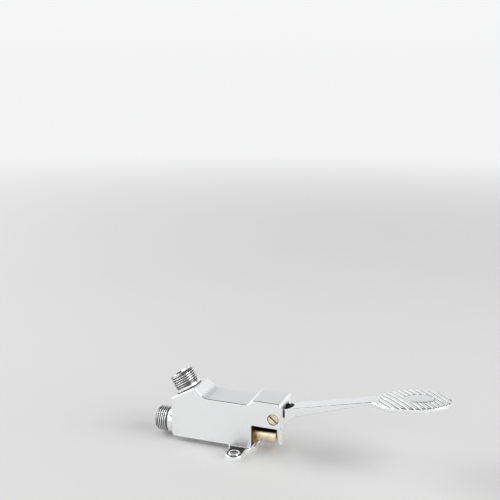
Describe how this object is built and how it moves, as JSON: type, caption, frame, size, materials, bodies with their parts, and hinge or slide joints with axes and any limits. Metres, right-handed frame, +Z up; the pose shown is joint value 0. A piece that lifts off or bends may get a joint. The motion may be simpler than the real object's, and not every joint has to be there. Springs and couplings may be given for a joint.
{
  "type": "foot pedal tap valve",
  "caption": "Floor-mounted foot pedal tap valve: a chrome casting with threaded inlet and outlet, and a bell-crank pedal that pushes a spring-loaded brass plunger.",
  "frame": {"origin": "midway between the two floor screw holes, on the floor plane under the foot plate", "axes": "+X along the lever towards the pedal pad, +Y across, away from the pivot screw's slotted head, +Z up from the floor"},
  "size_m": [0.2402, 0.064, 0.0619],
  "materials": {
    "chrome": "polished chrome plate on cast brass",
    "brass": "turned, bright",
    "rubber": "moulded, matt",
    "fibre": "stamped graphite fibre",
    "nylon": "moulded nylon",
    "steel": "drawn stainless wire and strip"
  },
  "bodies": {
    "valve": {"valve_body": "chrome", "inlet_nipple": "chrome", "inlet_gasket": "fibre", "outlet_nipple": "chrome", "outlet_gasket": "fibre", "valve_seat": "brass", "seat_gasket": "fibre", "gland_nut": "brass", "gland_gasket": "fibre", "stem_ring_inner": "rubber", "stem_ring_outer": "rubber", "pivot_screw": "brass", "washer_near": "nylon", "washer_far": "nylon"},
    "pedal": {"pedal_lever": "chrome", "pivot_bush": "brass"},
    "plunger": {"plunger": "brass", "valve_disc": "rubber", "disc_cup": "brass", "lock_washer": "steel", "disc_nut": "brass", "return_spring": "steel"}
  },
  "joints": [
    {"name": "pedal_pivot", "type": "hinge", "parent": "valve", "child": "pedal", "pos_m": [0.0283, 0, 0.0316], "axis": [0, 1, 0], "range_deg": [0, 14], "stiffness_Nm_per_rad": 8, "springref_deg": -14.32},
    {"name": "plunger_slide", "type": "slide", "parent": "valve", "child": "plunger", "axis": [-1, 0, 0], "range_m": [0, 0.0047], "deforming": ["return_spring"]}
  ],
  "couplings": [
    {"joint": "plunger_slide", "follows": "pedal_pivot", "m_per_rad": 0.0191}
  ]
}
